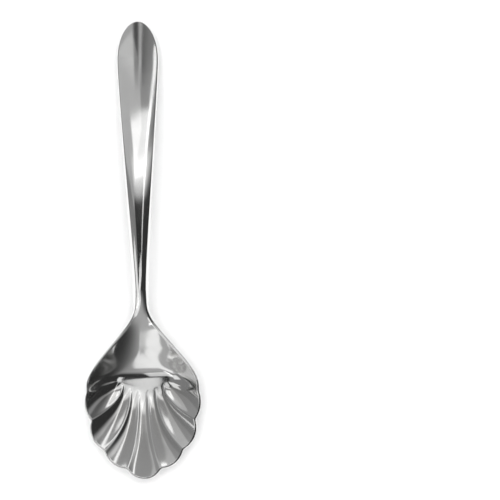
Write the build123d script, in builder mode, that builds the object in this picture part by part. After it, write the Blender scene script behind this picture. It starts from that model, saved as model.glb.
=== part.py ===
from build123d import *
from math import cos, radians, sin
import os

# A pressed steel sugar spoon with a scalloped shell bowl, lying on a table as it rests.
# Millimetres and degrees. +Z is up, +Y points to the handle's end, and the origin is on the
# table under the middle of the spoon's length. The hub is the place on the bowl's floor that
# the flutes fan out from.

os.makedirs("parts", exist_ok=True)

# Bowl: the steel and its depth above the table at the hub
bowl_depth = 9.0
wall = 1.2
rim_width = 1.2
rim_tilt = 5.0
wall_turn = 65.0
wall_lead = 0.2

# Bowl: the oval foot that it stands on
foot_half_width = 8.5
foot_half_length = 2.5
heel_half_width = 0.85

# Bowl: the oval that the notches of the rim lie on, and the lobes between them
shell_half_width = 18.8
shell_reach = 30.3
shell_squareness = 2.25
notch_angles = (11.0, 30.0, 53.0, 79.5)
front_bulge = 3.5
side_bulges = (1.7, 2.0, 1.3)
ridge_curl = 1.6

# Bowl: the smooth shoulders from the last notch to the neck
shoulder_reach = 24.5
shoulder_flare = 2.0
shoulder_swell = 8.0
shoulder_sweep = 7.8
back_curl = 1.9

# Neck, where the bowl and the handle meet
neck_length = 5.35
neck_half_width = 2.5
neck_thickness = 3.6
neck_edge = 2.2
neck_slope = 0.24
root_length = 10.0

# Handle
blade_length = 76.5
tip_length = 12.9
blade_half_width = 6.95
blade_thickness = 2.4
blade_edge = 1.2
neck_ease = 13.0
tip_ease = 10.0
tip_slope = -0.38

# How finely the curved faces are cut
wall_slices = 6
cavity_overrun = 1.06
blade_stations = 7
tip_stations = 6
tip_turn = 83.0


def oval_reach(angle, inset=0.0):
    """Distance from the hub to the notch oval, at an angle from straight forward."""
    across = abs(sin(radians(angle))) / (shell_half_width - inset)
    along = abs(cos(radians(angle))) / (shell_reach - inset)
    return (across**shell_squareness + along**shell_squareness) ** (-1 / shell_squareness)


# Places along the spoon
front_reach = oval_reach(notch_angles[0]) * cos(radians(notch_angles[0])) + front_bulge
front_length = front_reach * cos(radians(rim_tilt))
neck_reach = shoulder_reach + neck_length
handle_length = blade_length + tip_length
overall_length = front_length + neck_reach + handle_length
hub_y = front_length - overall_length / 2
joint_y = hub_y + neck_reach
blade_end_y = joint_y + blade_length

# The neck's edges run on from the rim at the end of the shoulders
shoulder_height = bowl_depth + shoulder_reach * sin(radians(rim_tilt))
neck_height = shoulder_height + neck_slope * neck_length - neck_edge


def foot_point(angle):
    """A point of the foot's edge, from the hub."""
    return Vector(foot_half_width * sin(radians(angle)), -foot_half_length * cos(radians(angle)))


def rim_point(angle, inset):
    """A point of the notch oval, from the hub."""
    reach = oval_reach(angle, inset)
    return Vector(reach * sin(radians(angle)), -reach * cos(radians(angle)))


def ridge_point(angle, rise, inset):
    """A point of a ridge, which sets off forward from the foot and then spreads to its notch."""
    foot = foot_point(angle)
    way = rim_point(angle, inset) - foot
    spread = rise ** (1 + ridge_curl * cos(radians(angle)))
    return foot + Vector(way.X * spread, way.Y * rise)


def lobe_top(start, end, roundness):
    """The outermost point of a lobe between two ridges, by its height over its chord."""
    chord = end - start
    return (start + end) / 2 + Vector(chord.Y, -chord.X) * roundness


def shell_slice(height, tilt, rise, inset):
    """One cut through the shell, where rise runs from 0 at the foot to 1 at the rim."""
    angles = [-angle for angle in reversed(notch_angles)] + list(notch_angles)
    bulges = list(reversed(side_bulges)) + [front_bulge] + list(side_bulges)
    notches = [ridge_point(angle, rise, inset) for angle in angles]
    tops = []
    for i, bulge in enumerate(bulges):
        rim_chord = rim_point(angles[i + 1], 0) - rim_point(angles[i], 0)
        tops.append(lobe_top(notches[i], notches[i + 1], bulge / rim_chord.length))

    neck_corner = Vector(neck_half_width - inset / 2, shoulder_reach - 2 * inset)
    heel_corner = Vector(heel_half_width, foot_half_length)
    foot_side = Vector(foot_half_width, foot_half_length / 2)
    foot_back = Vector(foot_half_width / 2, foot_half_length)
    rim_side = rim_point(angles[-1], inset) + Vector(shoulder_flare, shoulder_swell)
    rim_back = neck_corner - Vector(0, shoulder_sweep)
    back_rise = rise**back_curl
    right = [
        notches[-1],
        foot_side + (rim_side - foot_side) * rise,
        foot_back + (rim_back - foot_back) * back_rise,
        heel_corner + (neck_corner - heel_corner) * back_rise,
    ]
    left = [Vector(-point.X, point.Y) for point in reversed(right)]

    lean = radians(tilt)
    plane = Plane((0, hub_y, height), x_dir=(1, 0, 0), z_dir=(0, -sin(lean), cos(lean)))
    with BuildSketch(plane) as cut:
        with BuildLine():
            for start, top, end in zip(notches, tops, notches[1:]):
                ThreePointArc(start, top, end)
            Bezier(*right)
            Line(right[-1], left[0])
            Bezier(*left)
        make_face()
    return cut.sketch


def shell_slices(floor, inset, overrun=1.0):
    """The cuts of one side of the shell, up a wall that climbs in part evenly and in part by a turn."""
    slices = []
    full_turn = radians(wall_turn)
    for i in range(wall_slices + 1):
        turn = full_turn * overrun * i / wall_slices
        rise = sin(turn) / sin(full_turn)
        lift = wall_lead * rise + (1 - wall_lead) * (1 - cos(turn)) / (1 - cos(full_turn))
        height = floor + (bowl_depth - floor) * lift
        slices.append(shell_slice(height, rim_tilt * lift, rise, inset))
    return slices


def bar_section(y, half_width, underside, thickness, edge):
    """A cut across the neck or the handle: flat below, round at both sides, domed above."""
    corner = half_width - edge / 2
    middle = underside + edge / 2
    edge_top = underside + edge
    with BuildSketch(Plane((0, y, 0), x_dir=(1, 0, 0), z_dir=(0, -1, 0))) as cut:
        with BuildLine():
            Line((-corner, underside), (corner, underside))
            ThreePointArc((corner, underside), (half_width, middle), (corner, edge_top))
            ThreePointArc((corner, edge_top), (0, underside + thickness), (-corner, edge_top))
            ThreePointArc((-corner, edge_top), (-half_width, middle), (-corner, underside))
        make_face()
    return cut.sketch


def underside_height(y):
    """Height of the arched underside: a cubic from the neck's slope down to the table."""
    t = (y - joint_y) / handle_length
    neck_part = neck_height * (2 * t**3 - 3 * t**2 + 1)
    slope_part = neck_slope * (t**3 - 2 * t**2 + t) + tip_slope * (t**3 - t**2)
    return neck_part + handle_length * slope_part


def blade_section(t):
    """A cut across the blade, where t runs from 0 at the neck to 1 where the tip begins."""
    near = 3 * (1 - t) ** 2 * t * neck_ease
    far = 3 * (1 - t) * t**2 * (blade_length - tip_ease) + t**3 * blade_length
    y = joint_y + near + far
    widen = 3 * t**2 - 2 * t**3
    thin = (near + far) / blade_length
    half_width = neck_half_width + (blade_half_width - neck_half_width) * widen
    thickness = neck_thickness + (blade_thickness - neck_thickness) * thin
    edge = neck_edge + (blade_edge - neck_edge) * thin
    return bar_section(y, half_width, underside_height(y), thickness, edge)


def tip_section(angle):
    """A cut across the half-oval tip, at an angle round its quarter turn."""
    y = blade_end_y + tip_length * sin(radians(angle)) / sin(radians(tip_turn))
    narrow = cos(radians(angle))
    thickness = blade_edge + (blade_thickness - blade_edge) * narrow
    return bar_section(y, blade_half_width * narrow, underside_height(y), thickness, blade_edge)


def root_section(back_off):
    """A cut across the neck, straight on from the handle towards the bowl."""
    underside = neck_height - neck_slope * back_off
    y = joint_y - back_off
    return bar_section(y, neck_half_width, underside, neck_thickness, neck_edge)


# Bowl: a scalloped shell with the short neck that runs out of its back
with BuildPart() as bowl:
    loft(shell_slices(0, 0))
    loft([root_section(0), root_section(neck_length), root_section(neck_length + root_length)])
    loft(shell_slices(wall, rim_width, cavity_overrun), mode=Mode.SUBTRACT)

# Handle: an arched bar that widens from the neck and ends in a half oval
blade = [blade_section(i / blade_stations) for i in range(blade_stations + 1)]
tip = [tip_section(tip_turn * i / tip_stations) for i in range(1, tip_stations + 1)]
with BuildPart() as handle:
    loft(blade + tip)

bowl.part.label = "bowl"
handle.part.label = "handle"
export_step(bowl.part, "parts/bowl.step")
export_step(handle.part, "parts/handle.step")
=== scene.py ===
"""A polished steel sugar spoon with a fluted shell bowl, laid out as an add-on run as a script.

Lengths are in metres in the row frame: +X across the bowl, +Y to the handle's end, +Z up.
"""

from math import cos, pi, radians, sin, tan

import bpy
import numpy as np
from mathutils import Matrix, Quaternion, Vector


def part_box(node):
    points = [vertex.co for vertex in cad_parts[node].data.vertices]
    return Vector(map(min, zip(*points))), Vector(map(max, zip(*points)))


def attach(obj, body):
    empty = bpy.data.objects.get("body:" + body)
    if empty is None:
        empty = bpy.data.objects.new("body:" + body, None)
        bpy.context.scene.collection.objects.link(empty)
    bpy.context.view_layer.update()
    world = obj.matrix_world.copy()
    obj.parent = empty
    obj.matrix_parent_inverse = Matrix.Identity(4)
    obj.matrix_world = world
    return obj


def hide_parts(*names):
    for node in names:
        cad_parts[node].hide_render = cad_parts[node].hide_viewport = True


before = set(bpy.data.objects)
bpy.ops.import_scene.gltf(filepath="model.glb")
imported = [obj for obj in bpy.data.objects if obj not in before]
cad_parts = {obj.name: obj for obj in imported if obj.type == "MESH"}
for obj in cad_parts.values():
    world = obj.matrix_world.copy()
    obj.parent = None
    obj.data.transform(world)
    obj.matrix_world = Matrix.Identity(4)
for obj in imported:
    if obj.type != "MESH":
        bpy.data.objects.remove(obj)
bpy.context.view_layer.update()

bl_info = {
    "name": "Sugar Spoon",
    "version": (1, 0, 0),
    "blender": (4, 5, 0),
    "location": "View3D > Sidebar > Spoon",
    "description": "Builds the steel skins of a sugar spoon over its packed solids and a plain stage",
    "category": "Add Mesh",
}

MM = 0.001
NECK_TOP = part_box("bowl")[1].z
HANDLE_LOW, HANDLE_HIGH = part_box("handle")
JOINT_Y = HANDLE_LOW.y
TIP_Y = HANDLE_HIGH.y

# How finely the meshes are divided
FAN_STEPS = 57
LOBE_RAYS = 26
STUB_RAYS = 6
BACK_ROWS = 76
HANDLE_COLUMNS = 73
BLADE_ROWS = 230
TIP_ROWS = 52

# The right-hand notches' angles from straight forward, and how far each lobe stands out from its
# chord, from the front lobe round to the last one at the side
NOTCHES = np.radians([11.0, 30.0, 53.0, 79.5])
BULGES = np.array([3.5, 1.7, 2.0, 1.3]) * MM

# Guide points of the shoulders' curve, from its two ends, and of the curve of the blade's length
SHOULDER_START = np.array([2.0, 8.0]) * MM
SHOULDER_END = np.array([0.0, -7.8]) * MM
NECK_EASE = 13.0 * MM
TIP_EASE = 10.0 * MM

# The fan, by shares of the way from the hub to the rim: how soon the even rise sets in, and where
# the lobes are fully round, the flutes at full depth, and the flutes start to fade
HUB_SOFTNESS = 0.05
LOBES_ROUND = 0.15
FLUTES_FULL = 0.3
FLUTES_FADE = 0.5
# Cosine of the angle from which on a ridge has its full curl, and how often the rays are averaged
CURL_FULL = 0.35
RIDGE_PASSES = 3

# The back of the bowl, by distances behind the hub
SEAM_END = 5 * MM  # the walls have left the fan's slope
LEVEL_END = 5.5 * MM  # the spine has its full slope
COLUMNS_EVEN = 7.0 * MM  # the columns are evenly divided
ROWS_STRAIGHT = 9.0 * MM  # the rows no longer bow
DISH_END = 11.0 * MM  # the dished floor has narrowed to nothing
TROUGH = 4 * MM, 18 * MM  # the walls become a parabola
THICKEN_START = 10 * MM  # the steel starts to thicken towards the neck
UPRIGHT = 16 * MM, 26 * MM  # the thickness turns upright

EDGE_HIGHLIGHT_REACH = 0.9 * MM  # how far in from an edge the steel's colour is brightened, a painted highlight
LAYOUT_SCALE = 5.0  # units of the texture layout in a metre
FLOOR_HALF = 2.0  # half the floor's width
FRAME_HEIGHT = 9 * MM  # height at which the camera takes in its frame width

# Soft panels that the steel mirrors, in the order of panel_light's arguments: name, bearing, angle
# from overhead, spread across and along, radiance, turn and distance
PANELS = (
    ("far_box", 82, 28, 44, 20, 0.75, 10, 0.22),
    ("left_glow", 125, 42, 50, 40, 0.2, 0, 0.25),
    ("left_box", 205, 57, 24, 22, 0.7, 0, 0.6),
    ("right_strip", 33, 31.5, 6, 60, 0.9, 45, 1.75),
    ("near_box", 250, 66, 46, 14, 0.6, 13, 1.9),
    ("near_strip", 231.5, 51.6, 22, 4.5, 1.2, 2, 0.7),
    ("neck_box", 238, 39, 31, 20, 0.7, 45, 0.3),
    ("hub_box", 271, 20, 30, 10.5, 0.8, 14, 0.123),
)

# Upright bands of the far wall's lower part, from left to right: place and level
BANDS = (
    (-0.7, 0.36), (-0.15, 0.4), (-0.11, 0.03), (-0.01, 0.03), (0.02, 0.46),
    (0.07, 0.46), (0.11, 0.1), (0.3, 0.2), (0.5, 0.2), (0.8, 0.06),
)


class SpoonBowlSettings(bpy.types.PropertyGroup):
    """Sizes of the fluted bowl and its neck."""

    depth: bpy.props.FloatProperty(
        name="Depth", description="Height of the rim over the table, beside the hub",
        default=8.9 * MM, unit="LENGTH")
    steel: bpy.props.FloatProperty(
        name="Steel", description="Thickness of the pressed steel",
        default=1.1 * MM, unit="LENGTH")
    hub_half_width: bpy.props.FloatProperty(
        name="Hub half width", description="Half the width of the line that the flutes start from",
        default=8.5 * MM, unit="LENGTH")
    hub_half_length: bpy.props.FloatProperty(
        name="Hub half length", description="How far that line bows forward in its middle",
        default=2.5 * MM, unit="LENGTH")
    half_width: bpy.props.FloatProperty(
        name="Half width", description="Half width of the oval through the notches",
        default=18.45 * MM, unit="LENGTH")
    reach: bpy.props.FloatProperty(
        name="Reach", description="Reach of that oval forward of the hub",
        default=29.95 * MM, unit="LENGTH")
    squareness: bpy.props.FloatProperty(
        name="Squareness", description="Power of that oval: 2 is an ellipse, more is squarer",
        default=2.25)
    ridge_curl: bpy.props.FloatProperty(
        name="Ridge curl",
        description="How much a ridge runs forward before it spreads to its notch", default=1.6)
    flute_depth: bpy.props.FloatProperty(
        name="Flute depth", description="Extra depth of the flutes half way to the rim",
        default=0.35 * MM, unit="LENGTH")
    lead: bpy.props.FloatProperty(
        name="Lead", description="Share of the front wall's rise that is even from the hub on",
        default=0.45, subtype="FACTOR")
    dish: bpy.props.FloatProperty(
        name="Dish", description="Rise of the hub's line from its middle to its ends",
        default=0.9 * MM, unit="LENGTH")
    tilt: bpy.props.FloatProperty(
        name="Tilt", description="Rise of the rim towards the handle",
        default=radians(5.0), subtype="ANGLE")
    wall_turn: bpy.props.FloatProperty(
        name="Wall turn", description="How far the front wall turns up from hub to rim",
        default=radians(68.0), subtype="ANGLE")
    side_turn: bpy.props.FloatProperty(
        name="Side turn", description="How far the side walls turn up from hub to rim",
        default=radians(42.0), subtype="ANGLE")
    shoulder_reach: bpy.props.FloatProperty(
        name="Shoulder reach", description="From the hub back to where the shoulders meet the neck",
        default=24.5 * MM, unit="LENGTH")
    neck_length: bpy.props.FloatProperty(
        name="Neck length", description="From the shoulders to the joint with the handle",
        default=5.35 * MM, unit="LENGTH")


class SpoonHandleSettings(bpy.types.PropertyGroup):
    """Sizes of the arched handle, from the neck to the rounded end."""

    neck_half_width: bpy.props.FloatProperty(
        name="Neck half width", description="Half width where the handle meets the bowl",
        default=2.5 * MM, unit="LENGTH")
    half_width: bpy.props.FloatProperty(
        name="Half width", description="Half width at the broad end",
        default=6.95 * MM, unit="LENGTH")
    neck_thickness: bpy.props.FloatProperty(
        name="Neck thickness", description="Thickness in the middle of the neck",
        default=3.6 * MM, unit="LENGTH")
    thickness: bpy.props.FloatProperty(
        name="Thickness", description="Thickness in the middle of the broad end",
        default=2.4 * MM, unit="LENGTH")
    neck_edge: bpy.props.FloatProperty(
        name="Neck edge", description="Thickness of the rounded edges at the neck",
        default=2.2 * MM, unit="LENGTH")
    edge: bpy.props.FloatProperty(
        name="Edge", description="Thickness of the rounded edges at the broad end",
        default=1.2 * MM, unit="LENGTH")
    tip_length: bpy.props.FloatProperty(
        name="Tip length", description="Length of the half-oval end",
        default=12.9 * MM, unit="LENGTH")
    neck_slope: bpy.props.FloatProperty(
        name="Neck slope", description="Rise of the handle per length where it leaves the neck",
        default=0.24)
    tip_slope: bpy.props.FloatProperty(
        name="Tip slope", description="Rise of the handle per length where it meets the table",
        default=-0.38)


class SpoonStageSettings(bpy.types.PropertyGroup):
    """Camera of the plain stage."""

    frame_width: bpy.props.FloatProperty(
        name="Frame width", description="Width of what the camera takes in",
        default=164.7 * MM, unit="LENGTH")
    aside: bpy.props.FloatProperty(
        name="Aside", description="How far the camera stands to the right of the spoon",
        default=36.1 * MM, unit="LENGTH")
    lens: bpy.props.FloatProperty(
        name="Lens", description="Focal length of the camera in millimetres", default=300.0)
    roll: bpy.props.FloatProperty(
        name="Roll", description="Turn of the camera about its own axis",
        default=radians(-0.9), subtype="ANGLE")


def smooth(x, low, high):
    """An even S from 0 at low to 1 at high."""
    t = np.clip((x - low) / (high - low), 0.0, 1.0)
    return t * t * (3.0 - 2.0 * t)


def cubic(t, start, end, start_rate, end_rate):
    """The cubic through two values with the given rates per unit of t."""
    rise = start + (end - start) * (3 * t**2 - 2 * t**3)
    return rise + start_rate * (t**3 - 2 * t**2 + t) + end_rate * (t**3 - t**2)


def bezier(t, start, first, second, end):
    """The cubic from start to end that leaves and arrives along the lines to its two guides."""
    early = (1 - t) ** 3 * start + 3 * (1 - t) ** 2 * t * first
    return early + 3 * (1 - t) * t**2 * second + t**3 * end


def edge_drop(distance, radius):
    """How far a half-round edge falls from the flat, at a distance in from its outermost line."""
    inside = np.clip(radius - distance, 0.0, None)
    return radius - np.sqrt(np.clip(radius**2 - inside**2, 0.0, None))


def length_along(points):
    """Distance along each row of points from its first one."""
    steps = np.linalg.norm(np.diff(points, axis=1), axis=-1)
    return np.concatenate([np.zeros((len(points), 1)), np.cumsum(steps, axis=1)], axis=1)


def grid_faces(index):
    """Four-cornered faces between neighbouring rows and columns of an array of vertex numbers."""
    corners = [index[:-1, :-1], index[:-1, 1:], index[1:, 1:], index[1:, :-1]]
    return np.stack([c.ravel() for c in corners], axis=1)


def vertex_normals(points, quads):
    """Unit normals of a grid, each face weighted by its area."""
    a, b, c, d = (points[quads[:, i]] for i in range(4))
    face = np.cross(c - a, d - b)
    total = np.zeros_like(points)
    for i in range(4):
        np.add.at(total, quads[:, i], face)
    return total / np.linalg.norm(total, axis=1, keepdims=True)


def skin(name, top, bottom, quads, edge, joint, cap_forward, attributes):
    """A closed piece of two sheets that share their edge, capped at the joint, as a riding object.

    top and bottom hold one point each for every vertex of the sheet, edge says which vertices the
    sheets share, and joint lists the vertices along the open end, from left to right.
    """
    count = len(top)
    below = np.arange(count)
    below[~edge] = count + np.arange(np.count_nonzero(~edge))
    points = np.concatenate([top, bottom[~edge]])
    left, right = joint[:-1], joint[1:]
    cap = np.stack([left, right, below[right], below[left]], axis=1)
    cap = cap if cap_forward else cap[:, ::-1]
    faces = np.concatenate([quads, below[quads[:, ::-1]], cap])

    # A face whose two corners are one vertex, at the ends of the cap, is a triangle.
    keep = faces != np.roll(faces, 1, axis=1)
    corners = faces[keep]
    sizes = keep.sum(axis=1)
    starts = np.concatenate([[0], np.cumsum(sizes)[:-1]])

    mesh = bpy.data.meshes.new(name)
    mesh.vertices.add(len(points))
    mesh.vertices.foreach_set("co", points.astype(np.float32).ravel())
    mesh.loops.add(len(corners))
    mesh.loops.foreach_set("vertex_index", corners.astype(np.int32))
    mesh.polygons.add(len(faces))
    mesh.polygons.foreach_set("loop_start", starts.astype(np.int32))
    mesh.polygons.foreach_set("use_smooth", np.ones(len(faces), bool))
    mesh.update(calc_edges=True)

    ends = np.zeros(len(mesh.edges) * 2, np.int32)
    mesh.edges.foreach_get("vertices", ends)
    on_joint = np.zeros(len(points), bool)
    on_joint[joint] = True
    on_joint[below[joint]] = True
    sharp = mesh.attributes.new("sharp_edge", "BOOLEAN", "EDGE")
    sharp.data.foreach_set("value", on_joint[ends].reshape(-1, 2).all(axis=1))

    for label, values in attributes.items():
        layer = mesh.attributes.new(label, "FLOAT", "POINT")
        both = np.concatenate([values, values[~edge]])
        layer.data.foreach_set("value", both.astype(np.float32))

    # The upper sheet lies in the left half of the layout, the lower sheet in the right half, and
    # the cap between them.
    layout = mesh.uv_layers.new(name="layout")
    side = np.repeat([0.25, 0.75, 0.5], [len(quads), len(quads), len(cap)])
    flat = points[corners][:, :2] * LAYOUT_SCALE
    flat[:, 0] += np.repeat(side, sizes)
    flat[:, 1] += 0.5
    layout.data.foreach_set("uv", flat.astype(np.float32).ravel())

    piece = bpy.data.objects.new(name, mesh)
    bpy.context.scene.collection.objects.link(piece)
    mesh.validate()
    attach(piece, "root")
    return piece


def underside(y, handle):
    """Height of the handle's arched underside: one cubic from the neck down to the table."""
    length = TIP_Y - JOINT_Y
    neck = NECK_TOP - handle.neck_thickness
    rates = handle.neck_slope * length, handle.tip_slope * length
    return cubic((y - JOINT_Y) / length, neck, 0.0, *rates)


def handle_sheets(handle):
    """The handle as two sheets over one grid of columns u across and rows along.

    On the blade, x is the half width times u. On the tip, the square of u and w is rounded to a
    half disc (u times the root of 1 - w*w/2, and the same with u and w changed about), which the
    half width and tip length stretch to a half oval. The upper sheet is domed by 1 minus the square
    of the share of the way to the edge, and both fall away at the edge by a half circle.
    """
    blade = TIP_Y - JOINT_Y - handle.tip_length
    u = np.sin(pi / 2 * np.linspace(-1, 1, HANDLE_COLUMNS))[None, :]
    t = np.linspace(0, 1, BLADE_ROWS)[:, None]
    run = bezier(t, 0.0, NECK_EASE, blade - TIP_EASE, blade)
    neck, broad = handle.neck_half_width, handle.half_width
    half = bezier(t, neck, neck, broad, broad)
    blade_x, blade_y = half * u, run + 0 * u
    blade_share, blade_in = np.abs(u) + 0 * t, (1 - np.abs(u)) * half

    w = np.sin(pi / 2 * np.linspace(0, 1, TIP_ROWS + 1)[1:])[:, None]
    disc_x, disc_y = u * np.sqrt(1 - w**2 / 2), w * np.sqrt(1 - u**2 / 2)
    share = np.hypot(disc_x, disc_y)
    tip_in = (1 - share) * share / np.hypot(disc_x / handle.half_width, disc_y / handle.tip_length)

    x = np.concatenate([blade_x, handle.half_width * disc_x])
    y = JOINT_Y + np.concatenate([blade_y, blade + handle.tip_length * disc_y])
    share = np.concatenate([blade_share, share])
    inward = np.clip(np.concatenate([blade_in, tip_in]), 0, None)
    thin = np.clip((y - JOINT_Y) / blade, 0, 1)
    edge = handle.neck_edge + (handle.edge - handle.neck_edge) * thin
    thick = handle.neck_thickness + (handle.thickness - handle.neck_thickness) * thin
    low = underside(y, handle)
    drop = edge_drop(inward, edge / 2)
    top = np.stack([x, y, low + edge + (thick - edge) * (1 - share**2) - drop], axis=-1)
    bottom = np.stack([x, y, low + drop], axis=-1)
    on_edge = np.zeros(x.shape, bool)
    on_edge[:, [0, -1]] = True
    on_edge[-1] = True
    return top, bottom, on_edge, inward


def oval(bowl, angle):
    """A point of the oval through the notches, at an angle from straight forward, from the hub."""
    across = np.abs(np.sin(angle)) / bowl.half_width
    along = np.abs(np.cos(angle)) / bowl.reach
    distance = (across**bowl.squareness + along**bowl.squareness) ** (-1 / bowl.squareness)
    return np.stack([distance * np.sin(angle), -distance * np.cos(angle)], axis=-1)


def shoulder(bowl, neck_half_width):
    """The right shoulder's outline, from the last notch to the neck, as points of one cubic."""
    start = oval(bowl, NOTCHES[-1])
    end = np.array([neck_half_width, bowl.shoulder_reach])
    v = np.linspace(0, 1, 600)[:, None]
    return bezier(v, start, start + SHOULDER_START, end + SHOULDER_END, end)


def wall_rise(s, turn):
    """Share of the depth at a share s of the way to the rim, on a wall that turns evenly."""
    return (1 - np.sqrt(1 - (s * np.sin(turn)) ** 2)) / (1 - np.cos(turn))


def even_share(bowl, inner, half, rise):
    """Share of a side wall's rise that is even, so that it starts with the dished floor's slope."""
    return 2 * bowl.dish * inner / bowl.hub_half_width**2 * (half - inner) / rise


def bowl_fan(bowl, outline):
    """The fluted front of the bowl's middle surface: rays from left to right and steps s outward.

    The rays start on the hub's line, where x is its half width times the sine of the ray's angle
    and y its bow times the squared cosine. A ridge goes from there to its notch with the y share s
    and the x share s to the power 1 + curl * cosine, which fades to 1 straight across. Between two
    ridges, each step is a circular arc of the lobe's own roundness.

    The height goes from the dished floor to the plane of the rim, less the flute's depth. Its rise
    has three parts: an even one on the front, softened at the hub so that it starts level, one on
    the sides that carries on the dish, and a wall that turns up evenly. Neighbouring rays are then
    averaged a little, which rounds the ridges.
    """
    s = np.sin(pi / 2 * np.linspace(0, 1, FAN_STEPS))[None, :]
    notch = np.concatenate([-NOTCHES[::-1], NOTCHES])
    bulge = np.concatenate([BULGES[:0:-1], BULGES])

    def power(forward):
        return 1 + bowl.ridge_curl * forward * smooth(forward, 0.0, CURL_FULL)

    def hub_line(angle):
        bow = -bowl.hub_half_length * np.cos(angle) ** 2
        return np.stack([bowl.hub_half_width * np.sin(angle), bow], axis=-1)

    def rays(angle, rim):
        foot = hub_line(angle)[:, None]
        spread = s ** power(np.cos(angle)[:, None])
        return foot + (rim[:, None] - foot) * np.stack([spread, s + 0 * spread], axis=-1)

    ridge = rays(notch, oval(bowl, notch))
    start, end = ridge[:-1, None], ridge[1:, None]
    chord = end - start
    rim_chord = np.linalg.norm(chord[:, :, -1:], axis=-1)
    round_ = bulge[:, None, None] / rim_chord * smooth(s, 0.0, LOBES_ROUND)[None]
    half_turn = 2 * np.arctan(2 * np.clip(round_, 1e-4, None))
    tau = np.linspace(0, 1, LOBE_RAYS + 1)[:-1][None, :, None]
    turn = half_turn * (2 * tau - 1)
    along = np.sin(turn) / np.sin(half_turn)
    out = (np.cos(turn) - np.cos(half_turn)) / np.sin(half_turn)
    outward = np.stack([chord[..., 1], -chord[..., 0]], axis=-1)
    lobes = (start + end) / 2 + (chord * along[..., None] + outward * out[..., None]) / 2
    lobes = lobes.reshape(-1, s.size, 2)
    between = (notch[:-1, None] + np.diff(notch)[:, None] * tau[0, :, 0]).ravel()
    to_foot = (hub_line(between) - lobes[:, 0])[:, None]
    lobes = lobes + to_foot * (1 - smooth(s, 0.0, FLUTES_FULL))[..., None]

    # The plain stubs between the last notches and the line across the bowl through the hub
    angle = np.arcsin(np.linspace(1, sin(NOTCHES[-1]), STUB_RAYS))
    reach_y = np.linspace(0, outline[0, 1], STUB_RAYS)
    rim = np.stack([np.interp(reach_y, outline[:, 1], outline[:, 0]), reach_y], axis=-1)
    right = rays(angle, rim)
    left = right[:-1] * np.array([-1.0, 1.0])
    plan = np.concatenate([left, lobes, right[::-1]])
    bearing = np.concatenate([-angle[:-1], between, angle[::-1]])[:, None]

    # How hollow the flutes are: most in the middle of a lobe, and not at all on the stubs
    hollow = np.broadcast_to(4 * tau * (1 - tau), (len(bulge), LOBE_RAYS, s.size))
    hollow = np.pad(hollow.reshape(-1, s.size), ((STUB_RAYS - 1, STUB_RAYS), (0, 0)))
    hollow = hollow * smooth(s, 0.0, FLUTES_FULL) * (1 - smooth(s, FLUTES_FADE, 1.0))

    ahead, sideways = np.cos(bearing) ** 2, np.sin(bearing) ** 2
    floor = bowl.steel / 2 + bowl.dish * sideways
    side_x = np.interp(0.0, outline[:, 1], outline[:, 0])
    side_lead = even_share(bowl, bowl.hub_half_width, side_x, bowl.depth - floor.max())
    front, side = bowl.lead * ahead, side_lead * sideways
    wall = wall_rise(s, bowl.wall_turn * ahead + bowl.side_turn * sideways)
    soft = s**2 / (s + HUB_SOFTNESS) * (1 + HUB_SOFTNESS)
    rise = front * soft + side * s ** power(np.cos(bearing)) + (1 - front - side) * wall
    height = floor + (bowl.depth - floor + tan(bowl.tilt) * plan[..., 1]) * rise
    middle = np.concatenate([plan, (height - bowl.flute_depth * hollow)[..., None]], axis=-1)
    for _ in range(RIDGE_PASSES):
        middle[1:-1] = (middle[:-2] + 2 * middle[1:-1] + middle[2:]) / 4
    return middle[..., :2], middle[..., 2], hollow


def bowl_back(bowl, handle, outline, first):
    """The smooth back of the bowl's middle surface, as rows from the hub's line to the joint.

    The rows start with the columns of the first one, become straight and evenly divided, and end at
    the outline. A height depends on its place alone: it goes from the spine in the middle, over the
    dished floor, to the edge, by the wall's rise near the hub and by a parabola near the neck. The
    edge is one cubic. The spine starts level, and its slope then changes evenly to the handle's.
    """
    length = bowl.shoulder_reach + bowl.neck_length
    row = np.linspace(0, length, BACK_ROWS)[:, None]
    y = row + first[None, :, 1] * (1 - smooth(row, 0.0, ROWS_STRAIGHT))
    half = np.interp(row, outline[:, 1], outline[:, 0])
    even = np.sin(pi / 2 * np.linspace(-1, 1, len(first)))[None, :]
    first_share = (first[:, 0] / first[-1, 0])[None, :]
    x = half * (first_share + (even - first_share) * smooth(row, 0.0, COLUMNS_EVEN))

    edge_end = NECK_TOP - handle.neck_thickness + handle.neck_edge / 2
    edge_rates = tan(bowl.tilt) * length, handle.neck_slope * length
    edge = cubic(y / length, bowl.depth, edge_end, *edge_rates)

    # The spine's slope goes from a first value to the neck's. The first value is the one that
    # brings the spine to the middle of the handle's section at the joint.
    fine = np.linspace(0, length, 2000)
    start_level = smooth(fine, 0.0, LEVEL_END)

    def climb(rate):
        steps = (rate[1:] + rate[:-1]) / 2 * fine[1]
        return np.concatenate([[0.0], np.cumsum(steps)])

    fixed = climb(start_level * handle.neck_slope * fine / length)
    free = climb(start_level * (1 - fine / length))
    floor = bowl.steel / 2
    spine_end = edge_end + (handle.neck_thickness - handle.neck_edge) / 2
    first_slope = (spine_end - floor - fixed[-1]) / free[-1]
    spine = np.interp(y, fine, floor + fixed + first_slope * free)

    inner = bowl.hub_half_width * (1 - smooth(y, 0.0, DISH_END))
    width = np.interp(y, outline[:, 1], outline[:, 0])
    share = np.clip((np.abs(x) - inner) / (width - inner), 0, 1)
    blend = smooth(y, *TROUGH)
    rise = edge - spine - bowl.dish * (inner / bowl.hub_half_width) ** 2
    lead = even_share(bowl, inner, width, rise)
    wall = lead * share + (1 - lead) * wall_rise(share, bowl.side_turn)
    shape = wall * (1 - blend) + share**2 * blend
    dished = spine + bowl.dish * (np.minimum(np.abs(x), inner) / bowl.hub_half_width) ** 2
    return np.stack([x, y], axis=-1), dished + rise * shape, row, half


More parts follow.
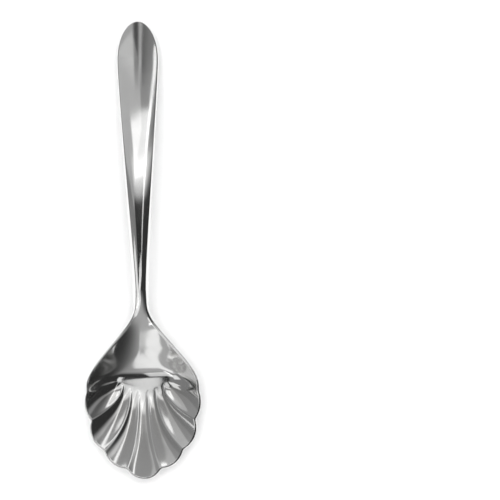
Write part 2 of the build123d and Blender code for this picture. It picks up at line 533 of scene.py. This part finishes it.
def seam_slope(lines):
    """Slope along y at the first of three neighbouring lines, carried on from between them."""
    slope_x = np.gradient(lines[..., 2], axis=1) / np.gradient(lines[..., 0], axis=1)
    step = np.diff(lines, axis=0)
    slope_y = (step[..., 2] - slope_x[:2] * step[..., 0]) / step[..., 1]
    middle = (lines[:-1, :, 1] + lines[1:, :, 1]) / 2
    change = (slope_y[0] - slope_y[1]) * (lines[0, :, 1] - middle[0])
    return slope_y[0] + change / (middle[0] - middle[1])


def seam_tuck(fan, back, row):
    """Heights by which the back's side walls leave the line through the hub at the fan's slope.

    They are the difference of the two slopes, which fades in over the six steps next to the hub,
    times y * (1 - y / SEAM_END) squared.
    """
    steps = fan.shape[1]
    change = seam_slope(fan[:3]) - seam_slope(back[:3, steps - 1::-1])
    change = change * smooth(np.arange(steps), 0, 6)
    full = np.concatenate([change[::-1], np.zeros(back.shape[1] - 2 * steps), change])
    return full[None, :] * row * np.clip(1 - row / SEAM_END, 0, None) ** 2


def bowl_sheets(bowl, handle):
    """The bowl's two sheets: the middle surface moved half the steel's thickness each way.

    The thickness grows to the handle's section towards the joint, and falls to nothing at the edge
    by a half circle. The way it moves is the surface's normal, turned upright along the neck.
    """
    length = bowl.shoulder_reach + bowl.neck_length
    outline = shoulder(bowl, handle.neck_half_width)
    fan, fan_z, hollow = bowl_fan(bowl, outline)
    rays, steps = fan_z.shape
    first_row = np.concatenate([
        np.arange(steps - 1, 0, -1),
        np.arange(rays) * steps,
        (rays - 1) * steps + np.arange(1, steps),
    ])
    back, back_z, row, half = bowl_back(bowl, handle, outline, fan.reshape(-1, 2)[first_row])
    back_z = back_z + seam_tuck(np.dstack([fan, fan_z]), np.dstack([back, back_z]), row)
    rows, columns = back_z.shape

    fan_index = np.arange(rays * steps).reshape(rays, steps)
    back_index = rays * steps + np.arange((rows - 1) * columns).reshape(rows - 1, columns)
    back_index = np.concatenate([first_row[None, :], back_index])
    quads = np.concatenate([grid_faces(fan_index), grid_faces(back_index)])
    plan = np.concatenate([fan.reshape(-1, 2), back[1:].reshape(-1, 2)])
    middle = np.column_stack([plan, np.concatenate([fan_z.ravel(), back_z[1:].ravel()])])

    # Distance in from the edge, measured along the rays and, square to the outline, along the rows
    fan_in = length_along(middle[fan_index[:, ::-1]])[:, ::-1]
    from_left = length_along(middle[back_index])
    back_in = np.minimum(from_left, from_left[:, -1:] - from_left)
    lean = np.gradient(half[:, 0], row[:, 0])[:, None]
    back_in = back_in / np.sqrt(1 + lean**2)
    inward = np.concatenate([fan_in.ravel(), back_in[1:].ravel()])

    # The fan's normals are averaged over five rays, but not next to the back
    normal = vertex_normals(middle, quads)
    fan_normal = normal[fan_index]
    padded = np.concatenate([fan_normal[:1]] * 2 + [fan_normal] + [fan_normal[-1:]] * 2)
    weights = (1, 2, 3, 2, 1)
    mean = sum(w * padded[i:i + rays] for i, w in enumerate(weights)) / sum(weights)
    from_seam = np.minimum(np.arange(rays), np.arange(rays)[::-1])[:, None, None]
    normal[fan_index] = fan_normal + (mean - fan_normal) * smooth(from_seam, 2, 9)
    upright = smooth(plan[:, 1], *UPRIGHT)[:, None]
    normal = normal * (1 - upright) + np.array([0.0, 0.0, 1.0]) * upright
    normal /= np.linalg.norm(normal, axis=1, keepdims=True)

    grow = smooth(plan[:, 1], THICKEN_START, length)
    edge = bowl.steel + (handle.neck_edge - bowl.steel) * grow
    crown = (handle.neck_thickness - handle.neck_edge) * grow
    width = np.interp(plan[:, 1], outline[:, 1], outline[:, 0])
    share = np.clip(np.abs(plan[:, 0]) / width, 0, 1)
    thick = edge / 2 + crown / 2 * (1 - share**2) - edge_drop(inward, edge / 2)
    middle[:, 1] += JOINT_Y - length
    top = middle + normal * thick[:, None]
    bottom = middle - normal * thick[:, None]
    on_edge = np.zeros(len(middle), bool)
    on_edge[fan_index[:, -1]] = True
    on_edge[back_index[:, [0, -1]]] = True
    # The flutes' depth, which also darkens their colour as painted shade
    groove = np.concatenate([hollow.ravel(), np.zeros((rows - 1) * columns)])
    return top, bottom, quads, on_edge, back_index[-1], inward, groove


def add_node(tree, kind, inputs=None, **settings):
    """A new shader node, with the values of some inputs and settings."""
    node = tree.nodes.new("ShaderNode" + kind)
    for name, value in settings.items():
        setattr(node, name, value)
    for name, value in (inputs or {}).items():
        node.inputs[name].default_value = value
    return node


def steel_material():
    """Bright stainless steel: faint polishing lines along the spoon and a fine bloom of use."""
    made = bpy.data.materials.get("polished_stainless")
    if made:
        return made
    made = bpy.data.materials.new("polished_stainless")
    made.use_nodes = True
    tree = made.node_tree
    link = tree.links.new
    shader = tree.nodes["Principled BSDF"]
    shader.inputs["Metallic"].default_value = 1.0

    place = add_node(tree, "TexCoord")
    lines_place = add_node(tree, "Mapping", {"Scale": (1.0, 0.04, 1.0)})
    lines = add_node(tree, "TexNoise", {"Scale": 5200.0, "Detail": 4.0})
    bloom = add_node(tree, "TexNoise", {"Scale": 170.0, "Detail": 6.0, "Roughness": 0.62})
    wave = add_node(tree, "TexNoise", {"Scale": 95.0, "Detail": 1.0})
    painted_edge_highlight = add_node(tree, "Attribute", attribute_name="painted_edge_highlight")
    groove = add_node(tree, "Attribute", attribute_name="groove")
    for node in (lines_place, bloom, wave):
        link(place.outputs["Object"], node.inputs["Vector"])
    link(lines_place.outputs["Vector"], lines.inputs["Vector"])

    # Colour: near white steel, a touch darker in the bloom, darkened in the flutes by painted shade
    # and brightened near the edges by a painted highlight
    tone = add_node(tree, "MapRange", {"From Min": 0.3, "From Max": 0.75})
    shades = {"A": (0.79, 0.79, 0.785, 1), "B": (0.74, 0.74, 0.735, 1)}
    colour = add_node(tree, "Mix", shades, data_type="RGBA")
    # Painted shade: the flutes' colour is multiplied darker by their depth, read from the groove
    # attribute
    flute_shade_colour = {"B": (0.9, 0.895, 0.885, 1)}
    shaded_flutes = add_node(tree, "Mix", flute_shade_colour, data_type="RGBA", blend_type="MULTIPLY")
    # Painted highlight: the colour is brightened within a short reach of every edge
    rim = add_node(tree, "Mix", {"B": (0.85, 0.85, 0.845, 1)}, data_type="RGBA")
    link(bloom.outputs["Fac"], tone.inputs["Value"])
    link(tone.outputs["Result"], colour.inputs["Factor"])
    link(groove.outputs["Fac"], shaded_flutes.inputs["Factor"])
    link(colour.outputs["Result"], shaded_flutes.inputs["A"])
    link(painted_edge_highlight.outputs["Fac"], rim.inputs["Factor"])
    link(shaded_flutes.outputs["Result"], rim.inputs["A"])
    link(rim.outputs["Result"], shader.inputs["Base Color"])

    # Gloss: polished all over, a little softer where the bloom and the polishing lines are
    limits = {"From Min": 0.25, "From Max": 0.8, "To Min": 0.05, "To Max": 0.12}
    gloss = add_node(tree, "MapRange", limits)
    streak = add_node(tree, "Math", {1: 0.06}, operation="MULTIPLY_ADD")
    link(bloom.outputs["Fac"], gloss.inputs["Value"])
    link(lines.outputs["Fac"], streak.inputs[0])
    link(gloss.outputs["Result"], streak.inputs[2])
    link(streak.outputs["Value"], shader.inputs["Roughness"])

    # Relief: slow waves of hand polishing under the fine lines
    swell = add_node(tree, "Bump", {"Strength": 0.5, "Distance": 0.12 * MM})
    brush = add_node(tree, "Bump", {"Strength": 0.12, "Distance": 0.012 * MM})
    link(wave.outputs["Fac"], swell.inputs["Height"])
    link(lines.outputs["Fac"], brush.inputs["Height"])
    link(swell.outputs["Normal"], brush.inputs["Normal"])
    link(brush.outputs["Normal"], shader.inputs["Normal"])
    return made


def floor_material():
    """A plain white sweep, with a trace of tooth."""
    made = bpy.data.materials.new("white_sweep")
    made.use_nodes = True
    tree = made.node_tree
    shader = tree.nodes["Principled BSDF"]
    shader.inputs["Roughness"].default_value = 0.8
    shader.inputs["Specular IOR Level"].default_value = 0.1
    place = add_node(tree, "TexCoord")
    tooth = add_node(tree, "TexNoise", {"Scale": 900.0})
    tone = add_node(tree, "MapRange", {"To Min": 0.93, "To Max": 0.95})
    tree.links.new(place.outputs["Object"], tooth.inputs["Vector"])
    tree.links.new(tooth.outputs["Fac"], tone.inputs["Value"])
    tree.links.new(tone.outputs["Result"], shader.inputs["Base Color"])
    return made


def panel_light(name, bearing, from_overhead, across, along, radiance, turn, distance, shows=True):
    """A soft rectangular light that faces the spoon, placed and sized in degrees and metres.

    bearing goes round from +X towards +Y, across is its spread round the spoon and along its spread
    from overhead down. radiance is how bright its face is, turn spins it about its middle, distance
    is from the spoon's middle, and shows says if the steel mirrors it.
    """
    over, round_ = radians(from_overhead), radians(bearing)
    place = Vector((sin(over) * cos(round_), sin(over) * sin(round_), cos(over))) * distance
    data = bpy.data.lights.new(name, "AREA")
    data.shape = "RECTANGLE"
    data.size = 2 * distance * tan(radians(across / 2))
    data.size_y = 2 * distance * tan(radians(along / 2))
    data.energy = radiance * pi * data.size * data.size_y
    lamp = bpy.data.objects.new(name, data)
    lamp.location = place
    face = (-place).to_track_quat("-Z", "Y")
    lamp.rotation_euler = (face @ Quaternion((0, 0, 1), radians(turn))).to_euler()
    lamp.visible_camera = False
    lamp.visible_glossy = shows
    bpy.context.scene.collection.objects.link(lamp)


def studio_world():
    """Soft dim walls: dark overhead and to the right, grey to the left, banded past the handle.

    x and y are those of the direction looked in, which is straight up where both are 0.
    """
    world = bpy.data.worlds.new("studio")
    world.use_nodes = True
    tree = world.node_tree
    link = tree.links.new
    place = add_node(tree, "TexCoord")
    parts = add_node(tree, "SeparateXYZ")
    link(place.outputs["Generated"], parts.inputs["Vector"])
    x, y = parts.outputs["X"], parts.outputs["Y"]

    def fade(value, start, end, low, high):
        limits = {"From Min": start, "From Max": end, "To Min": low, "To Max": high}
        node = add_node(tree, "MapRange", limits, interpolation_type="SMOOTHSTEP")
        link(value, node.inputs["Value"])
        return node.outputs["Result"]

    def join(operation, first, second):
        node = add_node(tree, "Math", operation=operation)
        for socket, value in zip(node.inputs, (first, second)):
            if isinstance(value, float):
                socket.default_value = value
            else:
                link(value, socket)
        return node.outputs["Value"]

    across = add_node(tree, "MapRange", {"From Min": -1.0})
    link(x, across.inputs["Value"])
    bands = add_node(tree, "ValToRGB")
    stops = bands.color_ramp.elements
    while len(stops) < len(BANDS):
        stops.new(0.5)
    for stop, (place_x, level) in zip(stops, BANDS):
        stop.position = (place_x + 1) / 2
        stop.color = (level, level, level, 1)
    link(across.outputs["Result"], bands.inputs["Fac"])

    # Far wall: grey and bright at its top, banded lower down, and dimmer to the right
    bright = join("MULTIPLY", fade(y, 0.23, 0.32, 0.65, 0.0), fade(x, -0.55, -0.3, 0.0, 1.0))
    upper = join("MULTIPLY", join("ADD", bright, 0.28), fade(y, 0.56, 0.62, 1.0, 0.0))
    lower = join("MULTIPLY", bands.outputs["Color"], fade(y, 0.56, 0.62, 0.0, 1.0))
    reach = join("MULTIPLY", fade(y, 0.05, 0.2, 0.0, 1.0), fade(x, 0.48, 0.79, 1.0, 0.28))
    far = join("MULTIPLY", join("ADD", upper, lower), reach)
    # Left wall: even grey
    left = fade(x, -0.45, -0.55, 0.0, 0.2)
    # Near wall: grey, and fading out at a slant to the right
    slant = join("SUBTRACT", x, join("MULTIPLY", y, 0.74))
    near = join("MULTIPLY", fade(y, -0.39, -0.72, 0.0, 0.42), fade(slant, 0.45, 1.25, 1.0, 0.0))
    # The rest: a trace of light, so that nothing mirrors pure black
    walls = join("MAXIMUM", far, join("MAXIMUM", left, near))
    background = tree.nodes["Background"]
    background.inputs["Color"].default_value = (1, 1, 1, 1)
    link(join("ADD", walls, 0.035), background.inputs["Strength"])
    return world


class SPOON_OT_handle(bpy.types.Operator):
    """Build the arched handle's steel skin."""

    bl_idname = "spoon.handle"
    bl_label = "Build Handle"

    def execute(self, context):
        top, bottom, on_edge, inward = handle_sheets(context.scene.spoon_handle)
        index = np.arange(on_edge.size).reshape(on_edge.shape)
        # Mask of the painted edge highlight in the steel's colour, strongest at the edge
        painted_edge_highlight = np.exp(-inward.ravel() / EDGE_HIGHLIGHT_REACH)
        piece = skin(
            "handle_skin", top.reshape(-1, 3), bottom.reshape(-1, 3), grid_faces(index),
            on_edge.ravel(), index[0], False, {"painted_edge_highlight": painted_edge_highlight, "groove": 0 * painted_edge_highlight})
        piece.data.materials.append(steel_material())
        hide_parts("handle")
        return {"FINISHED"}


class SPOON_OT_bowl(bpy.types.Operator):
    """Build the fluted bowl's steel skin with its neck."""

    bl_idname = "spoon.bowl"
    bl_label = "Build Bowl"

    def execute(self, context):
        settings = context.scene
        top, bottom, quads, on_edge, joint, inward, groove = bowl_sheets(
            settings.spoon_bowl, settings.spoon_handle)
        # Mask of the painted edge highlight in the steel's colour, strongest at the edge
        painted_edge_highlight = np.exp(-inward / EDGE_HIGHLIGHT_REACH)
        piece = skin(
            "bowl_skin", top, bottom, quads, on_edge, joint, True, {"painted_edge_highlight": painted_edge_highlight, "groove": groove})
        piece.data.materials.append(steel_material())
        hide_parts("bowl")
        return {"FINISHED"}


class SPOON_OT_stage(bpy.types.Operator):
    """Set up the floor, the soft lights and the camera."""

    bl_idname = "spoon.stage"
    bl_label = "Set Stage"

    def execute(self, context):
        scene = context.scene
        stage = scene.spoon_stage
        mesh = bpy.data.meshes.new("floor")
        half = FLOOR_HALF
        corners = [(-half, -half, 0), (half, -half, 0), (half, half, 0), (-half, half, 0)]
        mesh.from_pydata(corners, [], [(0, 1, 2, 3)])
        floor = bpy.data.objects.new("floor", mesh)
        floor.data.materials.append(floor_material())
        scene.collection.objects.link(floor)

        for panel in PANELS:
            panel_light(*panel)
        panel_light("floor_wash", 90, 4, 60, 60, 3.0, 0, 2.2, shows=False)
        scene.world = studio_world()

        lens = bpy.data.cameras.new("camera")
        lens.lens = stage.lens
        lens.sensor_width = 36.0
        lens.clip_end = 50.0
        camera = bpy.data.objects.new("camera", lens)
        away = stage.frame_width * stage.lens / lens.sensor_width
        camera.location = (stage.aside, stage.aside * tan(stage.roll), away + FRAME_HEIGHT)
        camera.rotation_euler = (0.0, 0.0, stage.roll)
        scene.collection.objects.link(camera)
        scene.camera = camera
        scene.view_settings.view_transform = "Standard"
        return {"FINISHED"}


class SPOON_PT_panel(bpy.types.Panel):
    """The spoon's sizes and the steps that build it."""

    bl_idname = "SPOON_PT_panel"
    bl_label = "Sugar Spoon"
    bl_space_type = "VIEW_3D"
    bl_region_type = "UI"
    bl_category = "Spoon"

    def draw(self, context):
        steps = {
            "spoon_handle": "spoon.handle",
            "spoon_bowl": "spoon.bowl",
            "spoon_stage": "spoon.stage",
        }
        for group, step in steps.items():
            box = self.layout.box()
            settings = getattr(context.scene, group)
            for name in settings.__annotations__:
                box.prop(settings, name)
            box.operator(step)


GROUPS = {
    "spoon_handle": SpoonHandleSettings,
    "spoon_bowl": SpoonBowlSettings,
    "spoon_stage": SpoonStageSettings,
}
CLASSES = (*GROUPS.values(), SPOON_OT_handle, SPOON_OT_bowl, SPOON_OT_stage, SPOON_PT_panel)


def register():
    for cls in CLASSES:
        bpy.utils.register_class(cls)
    for name, group in GROUPS.items():
        setattr(bpy.types.Scene, name, bpy.props.PointerProperty(type=group))


def unregister():
    for name in GROUPS:
        delattr(bpy.types.Scene, name)
    for cls in reversed(CLASSES):
        bpy.utils.unregister_class(cls)


def main():
    register()
    bpy.ops.spoon.handle()
    bpy.ops.spoon.bowl()
    bpy.ops.spoon.stage()


if __name__ == "__main__":
    main()
